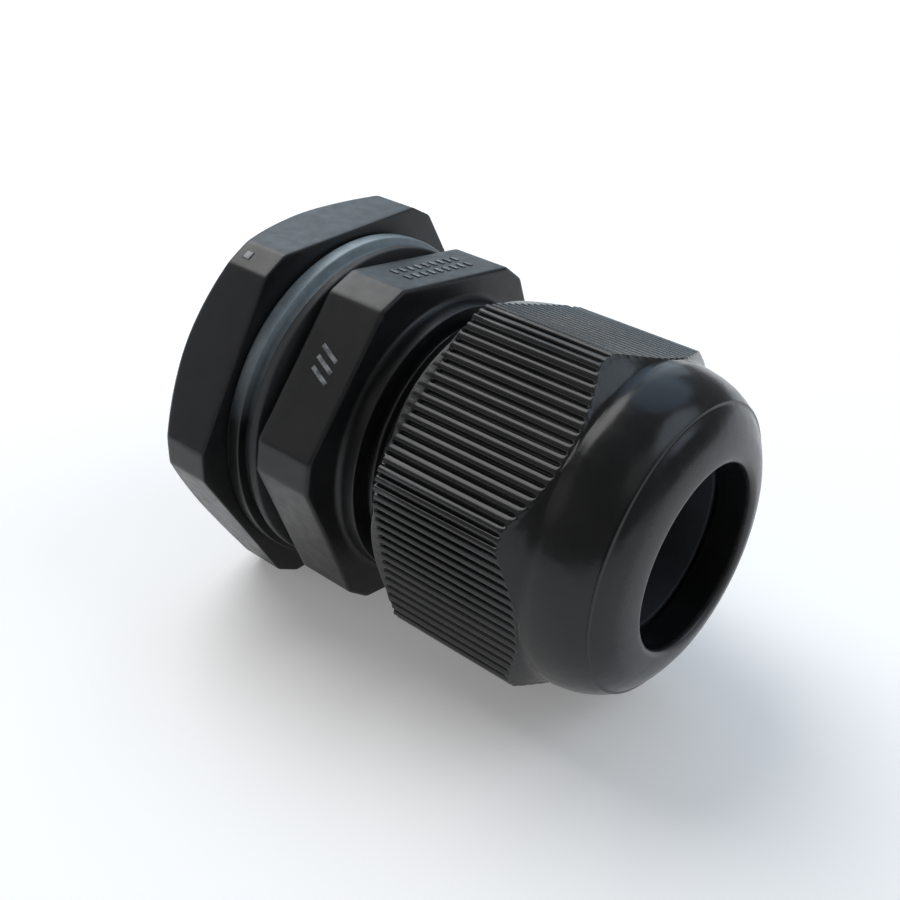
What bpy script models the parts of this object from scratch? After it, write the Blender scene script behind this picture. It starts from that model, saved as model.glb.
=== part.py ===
"""Nylon cable gland lying on one flat of its locknut, axis along X, nose towards +X.

Lengths are in metres. Stations along the axis are measured from the rear end of
the entry thread, and heights in a turned outline are radii about the gland's axis.
"""
import math

import bmesh
import bpy
from mathutils import Matrix, Vector

MM = 0.001

# overall
TOTAL_LENGTH = 42.9 * MM
AXIS_HEIGHT = 15.7 * MM
REAR_X = -TOTAL_LENGTH / 2
TURN_STEPS = 64
WELD = 1e-7
SHARP_ANGLE = math.radians(30)
RUNNING_GAP = 0.3 * MM
CUTTER_MARGIN = 1.0 * MM

# the two threads, 22.5 mm outside with 18 threads per inch
THREAD_PITCH = 25.4 / 18 * MM
THREAD_CREST_R = 11.25 * MM
THREAD_CORE_R = 10.45 * MM
THREAD_ROOT_SINK = 0.2 * MM
THREAD_BASE_WIDTH = 1.0 * MM
THREAD_TOP_WIDTH = 0.35 * MM
THREAD_STEPS = 32
THREAD_RUN_IN_STEPS = 8
THREAD_CLEAR_R = 11.55 * MM

# gland body
BODY_HALF_FLATS = 14.0 * MM
BODY_CORNER_R = 15.4 * MM
BODY_TURN = math.radians(-8.65)
ENTRY_END = 10.25 * MM
FLANGE_REAR = 10.25 * MM
FLANGE_R = 13.0 * MM
HEX_REAR = 11.0 * MM
HEX_FRONT = 16.9 * MM
HEX_SOFT_EDGE = 0.3 * MM
COLLAR_FRONT = 18.9 * MM
COLLAR_R = 12.1 * MM
COLLAR_EDGE = 0.35 * MM
CLAMP_THREAD_START = 19.4 * MM
BODY_FRONT = 28.6 * MM
BORE_R = 7.8 * MM
SEAT_R = 9.2 * MM
SEAT_REAR = 26.0 * MM
THREAD_LEAD = 0.7 * MM

# locknut
LOCKNUT_HALF_FLATS = 15.7 * MM
LOCKNUT_CORNER_R = 17.4 * MM
LOCKNUT_REAR = 0.7 * MM
LOCKNUT_FRONT = 6.9 * MM
LOCKNUT_COLLAR_FRONT = 8.85 * MM
LOCKNUT_COLLAR_REAR_R = 15.0 * MM
LOCKNUT_COLLAR_FRONT_R = 14.5 * MM
LOCKNUT_OUTER_R = 18.6 * MM
LOCKNUT_FACE_INSET = 0.3 * MM
LOCKNUT_CHAMFER_SLOPE = 0.98

# flat rubber gasket
GASKET_REAR = 9.15 * MM
GASKET_FRONT = 10.0 * MM
GASKET_R = 14.2 * MM

# clamping fingers
FINGER_COUNT = 12
FINGER_ROOT = 28.9 * MM
FINGER_LENGTH = 7.1 * MM
FINGER_OUTER_R = 10.3 * MM
FINGER_INNER_R = 9.2 * MM
FINGER_SLIT = 1.2 * MM
FINGER_TIP_CHAMFER = 0.5 * MM
FINGER_LEAN = math.radians(4.5)
FINGER_ARC_STEPS = 4

# rubber sealing insert
SEAL_REAR = 29.3 * MM
SEAL_FRONT = 39.5 * MM
SEAL_BORE_R = 6.9 * MM
SEAL_REAR_R = 8.7 * MM
SEAL_WAIST_R = 7.75 * MM
SEAL_WAIST = 36.0 * MM
SEAL_FLANGE_REAR = 38.95 * MM
SEAL_FLANGE_R = 8.7 * MM
SEAL_LEAD = 0.4 * MM

# dome nut
NUT_HALF_FLATS = 13.5 * MM
NUT_CORNER_R = 15.1 * MM
NUT_TURN = math.radians(-19.33)
NUT_REAR = 21.8 * MM
NUT_FRONT = TOTAL_LENGTH
NUT_THREAD_END = 31.6 * MM
NUT_CONE_START = 32.2 * MM
NUT_CONE_START_R = 11.1 * MM
NUT_SHOULDER = 39.8 * MM
NUT_SHOULDER_R = 9.1 * MM
NUT_MOUTH_R = 7.67 * MM
NUT_MOUTH_EDGE = 0.2 * MM
NUT_OUTER_R = 15.8 * MM
# (station, radius) pairs, from the rear face over the rear chamfer
NUT_REAR_PROFILE = (
    (21.8 * MM, 13.3 * MM),
    (21.9 * MM, 13.5 * MM),
    (22.7 * MM, 14.15 * MM),
    (23.1 * MM, 15.2 * MM),
    (23.6 * MM, NUT_OUTER_R),
)
# from the ribs' front ends over the front chamfer
NUT_FRONT_PROFILE = (
    (34.2 * MM, NUT_OUTER_R),
    (34.6 * MM, 15.2 * MM),
    (35.25 * MM, 14.4 * MM),
    (36.0 * MM, 13.55 * MM),
)
# over the dome and round the nose to the mouth
DOME_PROFILE = (
    (37.4 * MM, 13.45 * MM),
    (38.5 * MM, 13.24 * MM),
    (39.5 * MM, 12.92 * MM),
    (40.4 * MM, 12.5 * MM),
    (41.15 * MM, 11.93 * MM),
    (41.8 * MM, 11.1 * MM),
    (42.35 * MM, 10.1 * MM),
    (42.7 * MM, 9.2 * MM),
    (42.9 * MM, 8.45 * MM),
    (42.9 * MM, 8.1 * MM),
)
RIBS_PER_FLAT = 15
RIB_PITCH = 0.93 * MM
RIB_DEPTH = 0.28 * MM
RIB_TOP_WIDTH = 0.40 * MM
RIB_BASE_WIDTH = 0.62 * MM
RIB_END = 36.0 * MM
DOME_CLEAR_R = 14.5 * MM
DOME_CLEAR_INNER_R = 5.0 * MM
DOME_ROOM_OVERLAP = 0.5 * MM

# finishes
NYLON_ROUGHNESS = 0.42
RUBBER_ROUGHNESS = 0.75
NYLON_BLACK = (0.018, 0.019, 0.021, 1.0)
RUBBER_BLACK = (0.012, 0.012, 0.013, 1.0)

DEG_60 = math.radians(60)
DEG_30 = math.radians(30)


def clear_scene():
    """Removes whatever the scene holds before the gland is built."""
    for old in list(bpy.data.objects):
        bpy.data.objects.remove(old, do_unlink=True)


def make_collection(name):
    """A new collection in the scene."""
    found = bpy.data.collections.new(name)
    bpy.context.scene.collection.children.link(found)
    return found


def plastic(name, colour, roughness):
    """A plain, non-metallic surface."""
    material = bpy.data.materials.new(name)
    material.use_nodes = True
    shader = material.node_tree.nodes["Principled BSDF"]
    shader.inputs["Base Color"].default_value = colour
    shader.inputs["Roughness"].default_value = roughness
    shader.inputs["Metallic"].default_value = 0.0
    material.diffuse_color = colour
    return material


def nylon(name):
    """Black moulded nylon."""
    return plastic(name, NYLON_BLACK, NYLON_ROUGHNESS)


def rubber(name):
    """Black sealing rubber, duller than the nylon."""
    return plastic(name, RUBBER_BLACK, RUBBER_ROUGHNESS)


def link_object(name, mesh, collection):
    """An object for mesh in collection."""
    made = bpy.data.objects.new(name, mesh)
    collection.objects.link(made)
    return made


def station(distance):
    """X of a point that lies distance in front of the entry thread's rear end."""
    return REAR_X + distance


def axis_point(x, radius, angle):
    """A point about the gland's axis; angle is measured from +Y towards +Z."""
    return Vector((x, radius * math.cos(angle), AXIS_HEIGHT + radius * math.sin(angle)))


def turned(name, outline, collection):
    """A ring turned about the gland's axis.

    outline is the closed section as (station, radius) pairs: over the outside from
    the rear to the front, then back through the hole.
    """
    mesh = bpy.data.meshes.new(name)
    build = bmesh.new()
    points = [build.verts.new((station(s), 0.0, r)) for s, r in outline]
    for first, second in zip(points, points[1:] + points[:1]):
        build.edges.new((first, second))
    build.to_mesh(mesh)
    build.free()
    made = link_object(name, mesh, collection)
    made.location = (0.0, 0.0, AXIS_HEIGHT)
    screw = made.modifiers.new("turn", "SCREW")
    screw.axis = "X"
    screw.steps = TURN_STEPS
    screw.render_steps = TURN_STEPS
    screw.use_merge_vertices = True
    screw.merge_threshold = WELD
    screw.use_normal_calculate = True
    screw.use_normal_flip = True
    return made


def prism(name, outline, rear, front, turn, collection):
    """A bar along the axis; outline is its section as (Y, Z) pairs about the axis."""
    mesh = bpy.data.meshes.new(name)
    build = bmesh.new()
    spin = Matrix.Rotation(turn, 4, "X")
    base = [build.verts.new(spin @ Vector((station(rear), y, z))) for y, z in outline]
    face = build.faces.new(base)
    grown = bmesh.ops.extrude_face_region(build, geom=[face])
    tops = [v for v in grown["geom"] if isinstance(v, bmesh.types.BMVert)]
    bmesh.ops.translate(build, verts=tops, vec=(front - rear, 0.0, 0.0))
    bmesh.ops.recalc_face_normals(build, faces=build.faces)
    build.to_mesh(mesh)
    build.free()
    made = link_object(name, mesh, collection)
    made.location = (0.0, 0.0, AXIS_HEIGHT)
    return made


def side_frame(angle):
    """The outward direction of a side and the direction along it."""
    outward = Vector((math.cos(angle), math.sin(angle)))
    along = Vector((-math.sin(angle), math.cos(angle)))
    return outward, along


def flat_half_width(half_flats, corner_r):
    """Half the width that cutting the corners at corner_r leaves of one flat."""
    full_corner = half_flats / math.cos(DEG_30)
    cut_back = (full_corner - corner_r) / math.cos(DEG_60)
    return half_flats * math.tan(DEG_30) - cut_back


def cut_hexagon(half_flats, corner_r):
    """A hexagon whose corners are cut off square, with one flat facing up."""
    outline = []
    reach = flat_half_width(half_flats, corner_r)
    for side in range(6):
        outward, along = side_frame(math.pi / 2 + side * DEG_60)
        outline.append(outward * half_flats - along * reach)
        outline.append(outward * half_flats + along * reach)
    return outline


def rib_steps(centre):
    """The places along a side where one rib starts, rises, falls and ends."""
    return (
        (centre - RIB_BASE_WIDTH / 2, 0.0),
        (centre - RIB_TOP_WIDTH / 2, RIB_DEPTH),
        (centre + RIB_TOP_WIDTH / 2, RIB_DEPTH),
        (centre + RIB_BASE_WIDTH / 2, 0.0),
    )


def ribbed_hexagon():
    """The dome nut's section: fine ribs on every flat and one on every cut corner."""
    outline = []
    floor_flats = NUT_HALF_FLATS - RIB_DEPTH
    floor_corner = NUT_CORNER_R - RIB_DEPTH
    reach = flat_half_width(floor_flats, floor_corner)
    middle = (RIBS_PER_FLAT - 1) / 2
    for side in range(6):
        outward, along = side_frame(math.pi / 2 + side * DEG_60)
        outline.append(outward * floor_flats - along * reach)
        for rib in range(RIBS_PER_FLAT):
            for place, rise in rib_steps((rib - middle) * RIB_PITCH):
                outline.append(outward * (floor_flats + rise) + along * place)
        outline.append(outward * floor_flats + along * reach)
        corner_out, corner_along = side_frame(math.pi / 2 + side * DEG_60 + DEG_30)
        for place, rise in rib_steps(0.0):
            outline.append(corner_out * (floor_corner + rise) + corner_along * place)
    return outline


def thread_ridge(name, rear, front, collection):
    """A right-handed thread ridge that rises out of the core and sinks back into it."""
    mesh = bpy.data.meshes.new(name)
    build = bmesh.new()
    turns = (front - rear - THREAD_BASE_WIDTH) / THREAD_PITCH
    count = int(turns * THREAD_STEPS)
    sunk = THREAD_CORE_R - THREAD_ROOT_SINK
    bottom = sunk - THREAD_ROOT_SINK
    loops = []
    for step in range(count + 1):
        angle = step * math.tau / THREAD_STEPS
        middle = rear + THREAD_BASE_WIDTH / 2 + step * THREAD_PITCH / THREAD_STEPS
        lead = min(1.0, min(step, count - step) / THREAD_RUN_IN_STEPS)
        top = sunk + (THREAD_CREST_R - sunk) * lead
        corners = (
            (middle - THREAD_BASE_WIDTH / 2, bottom),
            (middle - THREAD_TOP_WIDTH / 2, top),
            (middle + THREAD_TOP_WIDTH / 2, top),
            (middle + THREAD_BASE_WIDTH / 2, bottom),
        )
        loops.append([build.verts.new(axis_point(station(s), r, angle)) for s, r in corners])
    for low, high in zip(loops, loops[1:]):
        for corner in range(4):
            after = (corner + 1) % 4
            build.faces.new((low[corner], low[after], high[after], high[corner]))
    build.faces.new(loops[0])
    build.faces.new(reversed(loops[-1]))
    bmesh.ops.recalc_face_normals(build, faces=build.faces)
    build.to_mesh(mesh)
    build.free()
    return link_object(name, mesh, collection)


def boolean(target, cutter, operation):
    """Adds an exact Boolean with cutter to target."""
    step = target.modifiers.new(cutter.name, "BOOLEAN")
    step.operation = operation
    step.solver = "EXACT"
    step.object = cutter


def as_cutter(made):
    """Hides a shape that only serves to cut or join another."""
    made.hide_render = True
    made.display_type = "WIRE"
    return made


def finish(made, material):
    """Gives a part its material and smooth sides with sharp edges."""
    made.data.materials.clear()
    made.data.materials.append(material)
    for face in made.data.polygons:
        face.use_smooth = True
    made.data.set_sharp_from_angle(angle=SHARP_ANGLE)


def freeze(made, material):
    """Replaces a part's mesh with the result of its modifiers."""
    bpy.context.view_layer.update()
    graph = bpy.context.evaluated_depsgraph_get()
    result = bpy.data.meshes.new_from_object(made.evaluated_get(graph))
    made.modifiers.clear()
    made.data = result
    finish(made, material)


def gland_body(parts, cutters):
    """Hexagon body with the entry thread behind it and the clamp thread in front."""
    outline = (
        (0.0, THREAD_CORE_R - THREAD_LEAD / 2),
        (THREAD_LEAD / 2, THREAD_CORE_R),
        (FLANGE_REAR, THREAD_CORE_R),
        (FLANGE_REAR, FLANGE_R),
        (HEX_REAR, FLANGE_R),
        (HEX_REAR, BODY_CORNER_R + HEX_SOFT_EDGE),
        (HEX_FRONT - HEX_SOFT_EDGE, BODY_CORNER_R + HEX_SOFT_EDGE),
        (HEX_FRONT, BODY_CORNER_R - HEX_SOFT_EDGE),
        (HEX_FRONT, COLLAR_R),
        (COLLAR_FRONT - COLLAR_EDGE, COLLAR_R),
        (COLLAR_FRONT, COLLAR_R - COLLAR_EDGE),
        (COLLAR_FRONT, THREAD_CORE_R),
        (BODY_FRONT - THREAD_LEAD / 2, THREAD_CORE_R),
        (BODY_FRONT, THREAD_CORE_R - THREAD_LEAD / 2),
        (BODY_FRONT, SEAT_R),
        (SEAT_REAR, SEAT_R),
        (SEAT_REAR, BORE_R),
        (0.0, BORE_R),
    )
    body = turned("gland_body", outline, parts)
    section = cut_hexagon(BODY_HALF_FLATS, BODY_CORNER_R)
    bar = prism("body_hexagon", section, -CUTTER_MARGIN, TOTAL_LENGTH, BODY_TURN, cutters)
    boolean(body, as_cutter(bar), "INTERSECT")
    entry = thread_ridge("entry_ridge", THREAD_LEAD, ENTRY_END - RUNNING_GAP, cutters)
    boolean(body, as_cutter(entry), "UNION")
    clamp_end = BODY_FRONT - THREAD_LEAD
    clamp = thread_ridge("clamp_ridge", CLAMP_THREAD_START, clamp_end, cutters)
    boolean(body, as_cutter(clamp), "UNION")
    freeze(body, nylon("body_nylon"))


def locknut(parts, cutters):
    """Hexagon locknut with a round bearing collar on its front face."""
    face_r = LOCKNUT_HALF_FLATS - LOCKNUT_FACE_INSET
    chamfer_rise = LOCKNUT_OUTER_R - face_r
    outline = (
        (LOCKNUT_REAR, face_r),
        (LOCKNUT_REAR + chamfer_rise * LOCKNUT_CHAMFER_SLOPE, LOCKNUT_OUTER_R),
        (LOCKNUT_FRONT, LOCKNUT_OUTER_R),
        (LOCKNUT_FRONT, LOCKNUT_COLLAR_REAR_R),
        (LOCKNUT_COLLAR_FRONT, LOCKNUT_COLLAR_FRONT_R),
        (LOCKNUT_COLLAR_FRONT, THREAD_CLEAR_R),
        (LOCKNUT_REAR, THREAD_CLEAR_R),
    )
    nut = turned("locknut", outline, parts)
    section = cut_hexagon(LOCKNUT_HALF_FLATS, LOCKNUT_CORNER_R)
    bar = prism("locknut_hexagon", section, -CUTTER_MARGIN, TOTAL_LENGTH, 0.0, cutters)
    boolean(nut, as_cutter(bar), "INTERSECT")
    freeze(nut, nylon("locknut_nylon"))


def gasket(parts):
    """Flat rubber washer between the body's flange and the locknut."""
    outline = (
        (GASKET_REAR, GASKET_R),
        (GASKET_FRONT, GASKET_R),
        (GASKET_FRONT, THREAD_CLEAR_R),
        (GASKET_REAR, THREAD_CLEAR_R),
    )
    washer = turned("gasket", outline, parts)
    freeze(washer, rubber("gasket_rubber"))


def sealing_insert(parts):
    """Tapered rubber sleeve that the fingers squeeze onto the cable."""
    outline = (
        (SEAL_REAR, SEAL_REAR_R),
        (SEAL_WAIST, SEAL_WAIST_R),
        (SEAL_FLANGE_REAR, SEAL_WAIST_R),
        (SEAL_FLANGE_REAR, SEAL_FLANGE_R),
        (SEAL_FRONT, SEAL_FLANGE_R),
        (SEAL_FRONT, SEAL_BORE_R + SEAL_LEAD),
        (SEAL_FRONT - SEAL_LEAD, SEAL_BORE_R),
        (SEAL_REAR, SEAL_BORE_R),
    )
    sleeve = turned("sealing_insert", outline, parts)
    freeze(sleeve, rubber("seal_rubber"))


def dome_room(cutters):
    """Round room in front of the ribs, so that the dome stays smooth and round."""
    front = TOTAL_LENGTH + CUTTER_MARGIN
    outline = (
        (RIB_END - DOME_ROOM_OVERLAP, DOME_CLEAR_INNER_R),
        (RIB_END - DOME_ROOM_OVERLAP, NUT_MOUTH_R),
        (RIB_END, NUT_MOUTH_R + DOME_ROOM_OVERLAP),
        (RIB_END, DOME_CLEAR_R),
        (front, DOME_CLEAR_R),
        (front, DOME_CLEAR_INNER_R),
    )
    return turned("dome_room", outline, cutters)


def dome_nut(parts, cutters):
    """Ribbed hexagon nut with a rounded dome, a cone inside and an open nose."""
    inside = (
        (NUT_FRONT - NUT_MOUTH_EDGE, NUT_MOUTH_R),
        (NUT_SHOULDER, NUT_MOUTH_R),
        (NUT_SHOULDER, NUT_SHOULDER_R),
        (NUT_CONE_START, NUT_CONE_START_R),
        (NUT_THREAD_END, THREAD_CLEAR_R),
        (NUT_REAR, THREAD_CLEAR_R),
    )
    outline = NUT_REAR_PROFILE + NUT_FRONT_PROFILE + DOME_PROFILE + inside
    nut = turned("dome_nut", outline, parts)
    bar_rear = NUT_REAR - CUTTER_MARGIN
    bar = prism("nut_hexagon", ribbed_hexagon(), bar_rear, RIB_END, NUT_TURN, cutters)
    boolean(bar, as_cutter(dome_room(cutters)), "UNION")
    boolean(nut, as_cutter(bar), "INTERSECT")
    freeze(nut, nylon("nut_nylon"))


def finger_mesh():
    """One finger about its root: +X along the finger, +Z away from the gland's axis."""
    root_r = (FINGER_OUTER_R + FINGER_INNER_R) / 2
    sections = (
        (0.0, FINGER_INNER_R, FINGER_OUTER_R),
        (FINGER_LENGTH - FINGER_TIP_CHAMFER, FINGER_INNER_R, FINGER_OUTER_R),
        (FINGER_LENGTH, FINGER_INNER_R, FINGER_OUTER_R - FINGER_TIP_CHAMFER),
    )
    half_angle = math.pi / FINGER_COUNT - FINGER_SLIT / 2 / root_r
    mesh = bpy.data.meshes.new("claw_finger")
    build = bmesh.new()
    loops = []
    for along, inner, outer in sections:
        loop = []
        for step in range(FINGER_ARC_STEPS + 1):
            angle = half_angle * (2 * step / FINGER_ARC_STEPS - 1)
            loop.append((along, outer * math.sin(angle), outer * math.cos(angle) - root_r))
        for step in reversed(range(FINGER_ARC_STEPS + 1)):
            angle = half_angle * (2 * step / FINGER_ARC_STEPS - 1)
            loop.append((along, inner * math.sin(angle), inner * math.cos(angle) - root_r))
        loops.append([build.verts.new(point) for point in loop])
    size = len(loops[0])
    for low, high in zip(loops, loops[1:]):
        for corner in range(size):
            after = (corner + 1) % size
            build.faces.new((low[corner], low[after], high[after], high[corner]))
    build.faces.new(loops[0])
    build.faces.new(reversed(loops[-1]))
    bmesh.ops.recalc_face_normals(build, faces=build.faces)
    build.to_mesh(mesh)
    build.free()
    return mesh


def claw_fingers(parts):
    """The ring of fingers around the seal, each leaning inwards about its root."""
    shared = finger_mesh()
    root_r = (FINGER_OUTER_R + FINGER_INNER_R) / 2
    surface = nylon("claw_nylon")
    for number in range(FINGER_COUNT):
        angle = number * math.tau / FINGER_COUNT
        made = link_object(f"claw_finger_{number + 1:02d}", shared, parts)
        made.location = axis_point(station(FINGER_ROOT), root_r, angle)
        lean = Matrix.Rotation(FINGER_LEAN, 4, "Y")
        around = Matrix.Rotation(angle - math.pi / 2, 4, "X")
        made.rotation_euler = (around @ lean).to_euler()
        finish(made, surface)


def main():
    """Builds the whole gland."""
    clear_scene()
    parts = make_collection("cable_gland")
    cutters = make_collection("gland_cutters")
    gland_body(parts, cutters)
    locknut(parts, cutters)
    gasket(parts)
    claw_fingers(parts)
    sealing_insert(parts)
    dome_nut(parts, cutters)
    bpy.context.view_layer.update()


main()
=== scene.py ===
"""Looks of the black nylon cable gland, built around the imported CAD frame.

Lengths are in metres. Stations run along the gland's axis from the rear end of the
entry thread, and radii are about that axis. Each visible piece replaces its CAD node.
"""

import math

import bpy
import numpy as np
from mathutils import Matrix, Vector


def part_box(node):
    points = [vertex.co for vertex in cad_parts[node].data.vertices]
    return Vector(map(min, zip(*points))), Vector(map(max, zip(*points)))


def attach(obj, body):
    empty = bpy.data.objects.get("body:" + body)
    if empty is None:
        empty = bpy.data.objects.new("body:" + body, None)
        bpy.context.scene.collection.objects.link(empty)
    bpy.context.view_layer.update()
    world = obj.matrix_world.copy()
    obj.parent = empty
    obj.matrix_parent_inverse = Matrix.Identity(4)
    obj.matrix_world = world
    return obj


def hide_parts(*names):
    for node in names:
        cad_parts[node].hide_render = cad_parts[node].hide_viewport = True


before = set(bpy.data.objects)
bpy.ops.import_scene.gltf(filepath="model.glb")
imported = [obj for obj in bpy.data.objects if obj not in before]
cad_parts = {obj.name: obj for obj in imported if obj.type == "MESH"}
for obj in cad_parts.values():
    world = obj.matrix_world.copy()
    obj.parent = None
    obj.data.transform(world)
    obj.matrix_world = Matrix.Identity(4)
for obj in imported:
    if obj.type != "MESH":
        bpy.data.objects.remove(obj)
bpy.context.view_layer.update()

MM = 0.001
REAR_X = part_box("gland_body")[0].x
AXIS_HEIGHT = (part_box("gasket")[0].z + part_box("gasket")[1].z) / 2
DEG_30 = math.radians(30)
DEG_60 = math.radians(60)
# points closer together than this count as one
WELD = 1e-6
SHARP_ANGLE = math.radians(40)

# black nylon: colours, depth of its waves and of its grain
NYLON_DARK = (0.0060, 0.0063, 0.0068)
NYLON_LIGHT = (0.0105, 0.0107, 0.0113)
# colour of the edges: partly handling wear, partly a painted glint
NYLON_WORN_AND_GLINT = (0.024, 0.025, 0.026)
NYLON_IOR = 1.42
NYLON_WAVES = 0.03 * MM
NUT_WAVES = 0.05 * MM
NYLON_GRAIN = 0.003 * MM
# painted highlight: the lip near the nut's mouth is painted lighter in place of the
# highlight it catches
LIP_PAINTED_HIGHLIGHT = (0.062, 0.062, 0.061)
# painted reflection: the top of the locknut's collar is painted pale blue-grey in place of
# the bright sky it reflects
COLLAR_PAINTED_REFLECTION = (0.36, 0.43, 0.47)
# painted highlight: the tops of the raised marks are painted pale in place of their glints
MARK_PAINTED_HIGHLIGHT = (0.24, 0.25, 0.26)
# least and most roughness of each finish
SATIN = (0.30, 0.42)
GLOSS = (0.17, 0.27)
DULL = (0.36, 0.48)
RUBBER_ROUGHNESS = (0.55, 0.75)
WORN_ROUGHNESS = 0.12
LIP_ROUGHNESS = 0.15
# heights above the axis between which the collar's painted reflection fades in
REFLECTION_HEIGHTS = (3.5 * MM, 15.0 * MM)
# shares of a raised mark's height between which its painted highlight fades in
MARK_TOPS = (0.2, 0.8)
# rubber: darkest and lightest colour of each part, depth of its grain
SEAL_RUBBER = ((0.010, 0.012, 0.016), (0.018, 0.021, 0.027))
GASKET_RUBBER = ((0.022, 0.023, 0.024), (0.034, 0.035, 0.036))
RUBBER_GRAIN = 0.01 * MM
# noise patterns: features to the metre, detail, roughness
FLOW_PATTERN = (260.0, 3.0, 0.5)
SATIN_PATTERN = (900.0, 4.0, 0.6)
GRAIN_PATTERN = (5200.0, 2.0, 0.6)
WEAR_AND_GLINT_PATTERN = (420.0, 4.0, 0.7)
MARK_HIGHLIGHT_PATTERN = (1600.0, 2.0, 0.5)
BLOOM_PATTERN = (700.0, 4.0, 0.6)
RUBBER_PATTERN = (4000.0, 2.0, 0.5)
# the values between which most of a noise pattern lies
NOISE_LOW = 0.3
NOISE_HIGH = 0.7
# how a value is spread: least and most result, then where the spread starts and stops
WORN_AND_GLINTING_EDGES = (0.0, 1.0, 0.512, 0.56)
WEAR_AND_GLINT_PATCHES = (0.15, 1.0, 0.4, 0.62)
MARK_HIGHLIGHT_PATCHES = (0.3, 1.0, 0.35, 0.6)
BAND_PATCHES = (0.75, 1.0, NOISE_LOW, NOISE_HIGH)

# light
ROOM_STRENGTH = 0.2
LIGHT_DISTANCE = 1.4
FLOOR_HALF = 3.0
FLOOR_GREY = 0.9
FLOOR_ROUGHNESS = 0.9
FLOOR_GLOW = 0.2
# name, azimuth, elevation, spread, radiance, colour
SOFT_BOXES = (
    ("left_high", 262.0, 50.0, 24.0, 3.65, (1.0, 1.0, 1.0)),
    ("back_low", 212.0, 20.0, 17.0, 1.0, (0.68, 0.87, 1.0)),
    ("left_back", 237.0, 24.0, 13.0, 1.6, (0.74, 0.87, 1.0)),
    ("back_high", 190.0, 50.0, 20.0, 1.0, (0.5, 0.72, 1.0)),
    ("right_back", 128.0, 40.0, 20.0, 1.75, (0.74, 0.87, 1.0)),
    ("left_low", 300.0, 16.0, 14.0, 0.5, (0.84, 0.87, 1.0)),
    ("front_right", 80.0, 46.0, 16.0, 0.35, (1.0, 1.0, 1.0)),
    ("left_front", 330.0, 32.0, 15.0, 0.3, (1.0, 0.95, 0.85)),
)

# camera
CAMERA_PLACE = (0.052832, -0.068369, 0.069589)
CAMERA_RIGHT = (0.75930, 0.64972, 0.03659)
CAMERA_BACK = (0.53743, -0.65780, 0.52770)
CAMERA_LENS = 48.48
CAMERA_SENSOR = 36.0
CAMERA_NEAR = 0.005

# rounded edges and bends: how far from the corner they start, how many chords they have
TINY_EDGE = (0.06 * MM, 2)
CRISP_EDGE = (0.08 * MM, 2)
FINE_EDGE = (0.1 * MM, 2)
CONE_EDGE = (0.12 * MM, 3)
COLLAR_EDGE = (0.12 * MM, 4)
BAND_EDGE = (0.14 * MM, 5)
SMALL_EDGE = (0.15 * MM, 3)
ROUND_EDGE = (0.15 * MM, 4)
FACE_EDGE = (0.16 * MM, 4)
SEAT_EDGE = (0.2 * MM, 2)
SOFT_EDGE = (0.2 * MM, 3)
GASKET_EDGE = (0.2 * MM, 4)
TAIL_EDGE = (0.25 * MM, 3)
SHOULDER_EDGE = (0.3 * MM, 3)
CHAMFER_EDGE = (0.3 * MM, 4)
BORE_EDGE = (0.35 * MM, 4)
HEX_REAR_EDGE = (0.35 * MM, 4)
HEX_FRONT_EDGE = (0.35 * MM, 5)
GROOVE_BEND = (0.5 * MM, 3)
COLLAR_FILLET = (0.7 * MM, 7)
WAIST_BEND = (0.8 * MM, 4)
THROAT_BEND = (1.5 * MM, 8)
# the most that rounding takes of the shorter stretch beside a corner
EDGE_SHARE = 0.45

# hexagons and round surfaces
HEX_CORNER_SOFT = 0.3 * MM
HEX_CORNER_STEPS = 5
FLAT_COLUMNS = 36
CORNER_COLUMNS = 6
FACE_ROW = 0.8 * MM
FACE_ROWS = 3
HEX_ROWS = 12
ROUND_COLUMNS = 120

# the two threads
THREAD_PITCH = 25.4 / 18 * MM
THREAD_CREST_R = 11.25 * MM
THREAD_CORE_R = 10.45 * MM
THREAD_CLEARANCE = 0.1 * MM
THREAD_OVERLAP = 0.1 * MM
THREAD_FADE = 0.9 * MM
# share of the pitch, share of the thread's height
THREAD_PROFILE = (
    (0.00, 0.00),
    (0.13, 0.02),
    (0.18, 0.12),
    (0.34, 0.84),
    (0.38, 0.97),
    (0.44, 1.00),
    (0.56, 1.00),
    (0.62, 0.97),
    (0.66, 0.84),
    (0.82, 0.12),
    (0.87, 0.02),
)

# gland body
BODY_HALF_FLATS = 14.0 * MM
BODY_CORNER_R = 15.4 * MM
BODY_TURN = math.radians(-8.65)
BODY_END_R = 10.1 * MM
FLANGE_REAR = 10.25 * MM
FLANGE_R = 13.0 * MM
HEX_REAR = 11.0 * MM
HEX_FRONT = 16.9 * MM
COLLAR_FRONT = 18.65 * MM
COLLAR_R = 12.1 * MM
BODY_FRONT = 28.6 * MM
BORE_R = 7.8 * MM
BORE_ROWS = 8
SEAT_R = 9.2 * MM
SEAT_REAR = 26.0 * MM
THREAD_LEAD = 0.35 * MM

# locknut
LOCKNUT_HALF_FLATS = 15.7 * MM
LOCKNUT_CORNER_R = 17.4 * MM
LOCKNUT_REAR = 0.7 * MM
LOCKNUT_FRONT = 6.9 * MM
LOCKNUT_FACE_R = 15.4 * MM
LOCKNUT_CHAMFER_SLOPE = 0.85
LOCKNUT_COLLAR_FRONT = 8.85 * MM
LOCKNUT_COLLAR_REAR_R = 14.7 * MM
LOCKNUT_COLLAR_R = 14.95 * MM
LOCKNUT_BAND = (7.15 * MM, 8.35 * MM)
# stations where the collar's painted reflection fades in
COLLAR_REFLECTION_START = (7.05 * MM, 7.1 * MM)
LOCKNUT_SPIGOT_R = 14.1 * MM
COUNTERSINK_R = 12.1 * MM
COUNTERSINK_DEPTH = 0.5 * MM

# plain raised marks
BAR_STEPS = np.array((-1.0, -0.94, -0.84, -0.7, 0.0, 0.7, 0.84, 0.94, 1.0))
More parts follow.
